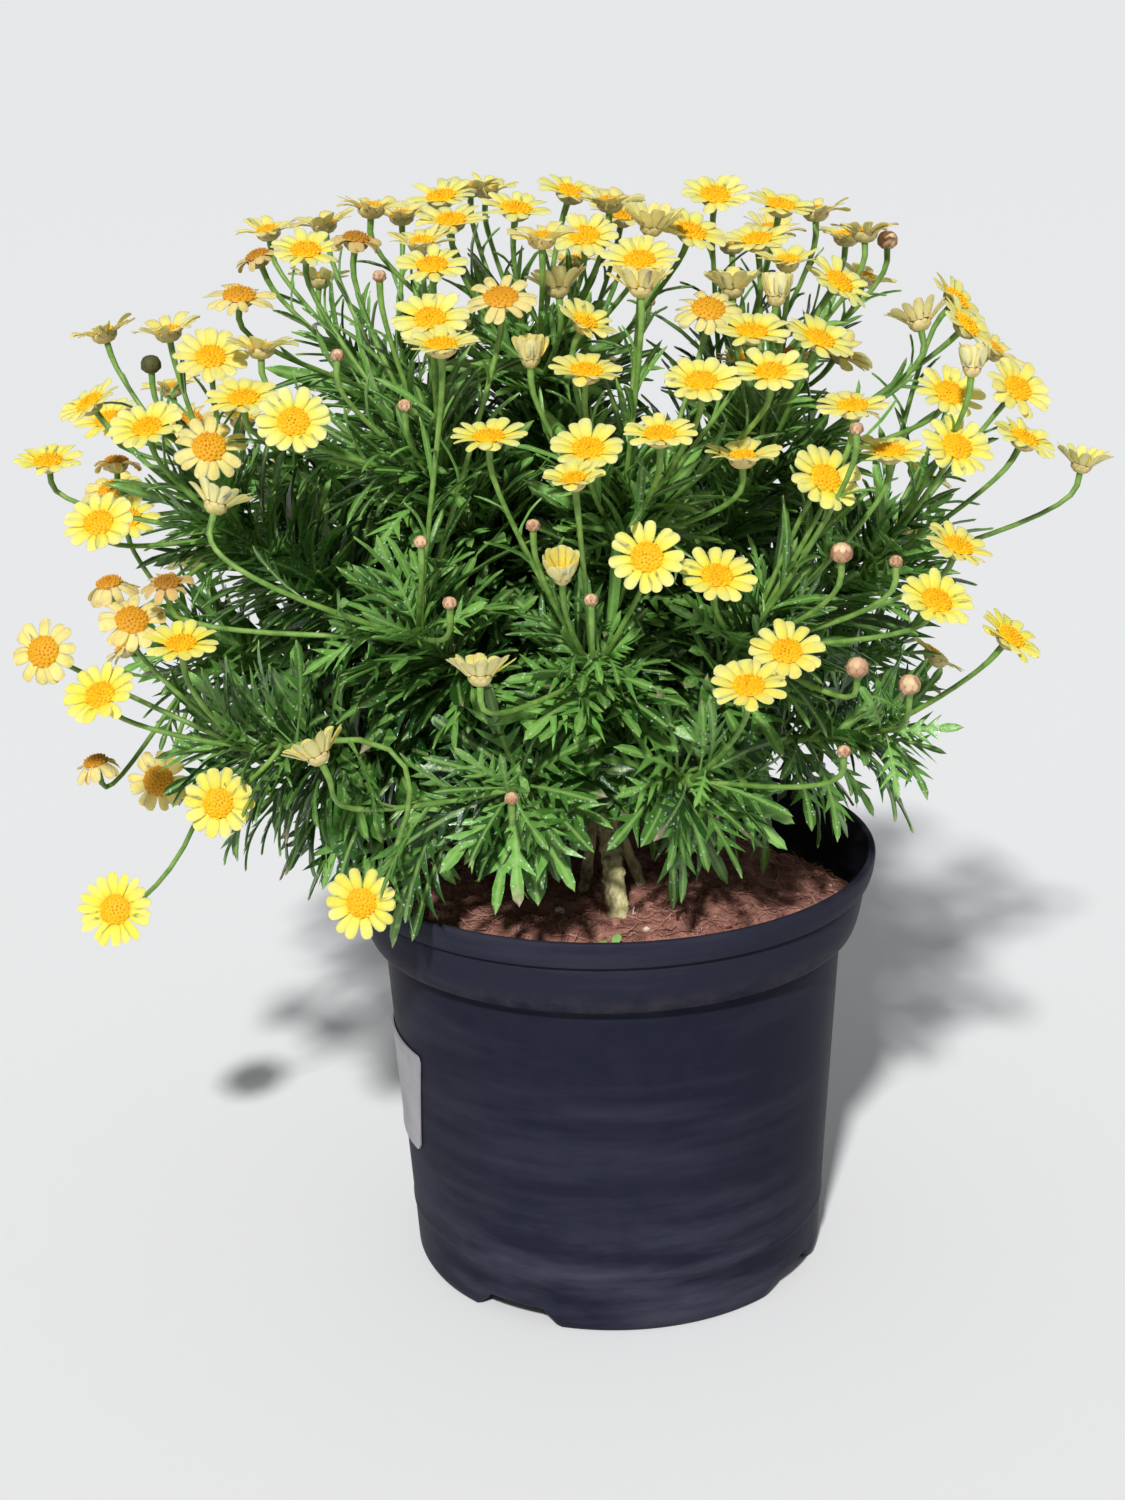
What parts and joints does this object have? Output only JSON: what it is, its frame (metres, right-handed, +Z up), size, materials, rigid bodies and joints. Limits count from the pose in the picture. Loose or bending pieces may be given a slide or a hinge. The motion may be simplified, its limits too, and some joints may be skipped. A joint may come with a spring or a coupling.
{
  "type": "potted marguerite daisy",
  "caption": "Yellow marguerite daisy bush with stalked flower heads and feathery leaves, rooted in soil in a round dark nursery pot",
  "frame": {"origin": "on the floor under the middle of the pot, on the pot's upright axis", "axes": "+Z up along the pot's axis, +X to the right and -Y towards the viewer as in the picture"},
  "size_m": [0.4345, 0.3345, 0.4579],
  "materials": {
    "pot_plastic": "satin",
    "label_paper": "matte",
    "potting_soil": "matte",
    "stem_wood": "matte",
    "flower_parts": "matte",
    "leaf_green": "satin"
  },
  "bodies": {
    "root": {"pot": "pot_plastic", "label": "label_paper", "soil": "potting_soil", "woody_base": "stem_wood", "flower_spray_01": "flower_parts", "flower_spray_02": "flower_parts", "flower_spray_03": "flower_parts", "flower_spray_04": "flower_parts", "flower_spray_05": "flower_parts", "flower_spray_06": "flower_parts", "flower_spray_07": "flower_parts", "flower_spray_08": "flower_parts", "flower_spray_09": "flower_parts", "flower_spray_10": "flower_parts", "flower_spray_11": "flower_parts", "flower_spray_12": "flower_parts", "flower_spray_13": "flower_parts", "flower_spray_14": "flower_parts", "flower_spray_15": "flower_parts", "flower_spray_16": "flower_parts", "flower_spray_17": "flower_parts", "flower_spray_18": "flower_parts", "flower_spray_19": "flower_parts", "flower_spray_20": "flower_parts", "flower_spray_21": "flower_parts", "flower_spray_22": "flower_parts", "flower_spray_23": "flower_parts", "flower_spray_24": "flower_parts", "leafy_shoot_01": "leaf_green", "leafy_shoot_02": "leaf_green", "leafy_shoot_03": "leaf_green", "leafy_shoot_04": "leaf_green", "leafy_shoot_05": "leaf_green", "leafy_shoot_06": "leaf_green", "leafy_shoot_07": "leaf_green", "leafy_shoot_08": "leaf_green", "leafy_shoot_09": "leaf_green", "leafy_shoot_10": "leaf_green", "leafy_shoot_11": "leaf_green", "leafy_shoot_12": "leaf_green", "leafy_shoot_13": "leaf_green", "leafy_shoot_14": "leaf_green", "leafy_shoot_15": "leaf_green", "leafy_shoot_16": "leaf_green", "leafy_shoot_17": "leaf_green", "leafy_shoot_18": "leaf_green", "leafy_shoot_19": "leaf_green", "leafy_shoot_20": "leaf_green", "leafy_shoot_21": "leaf_green", "leafy_shoot_22": "leaf_green", "leafy_shoot_23": "leaf_green", "leafy_shoot_24": "leaf_green"}
  },
  "joints": []
}
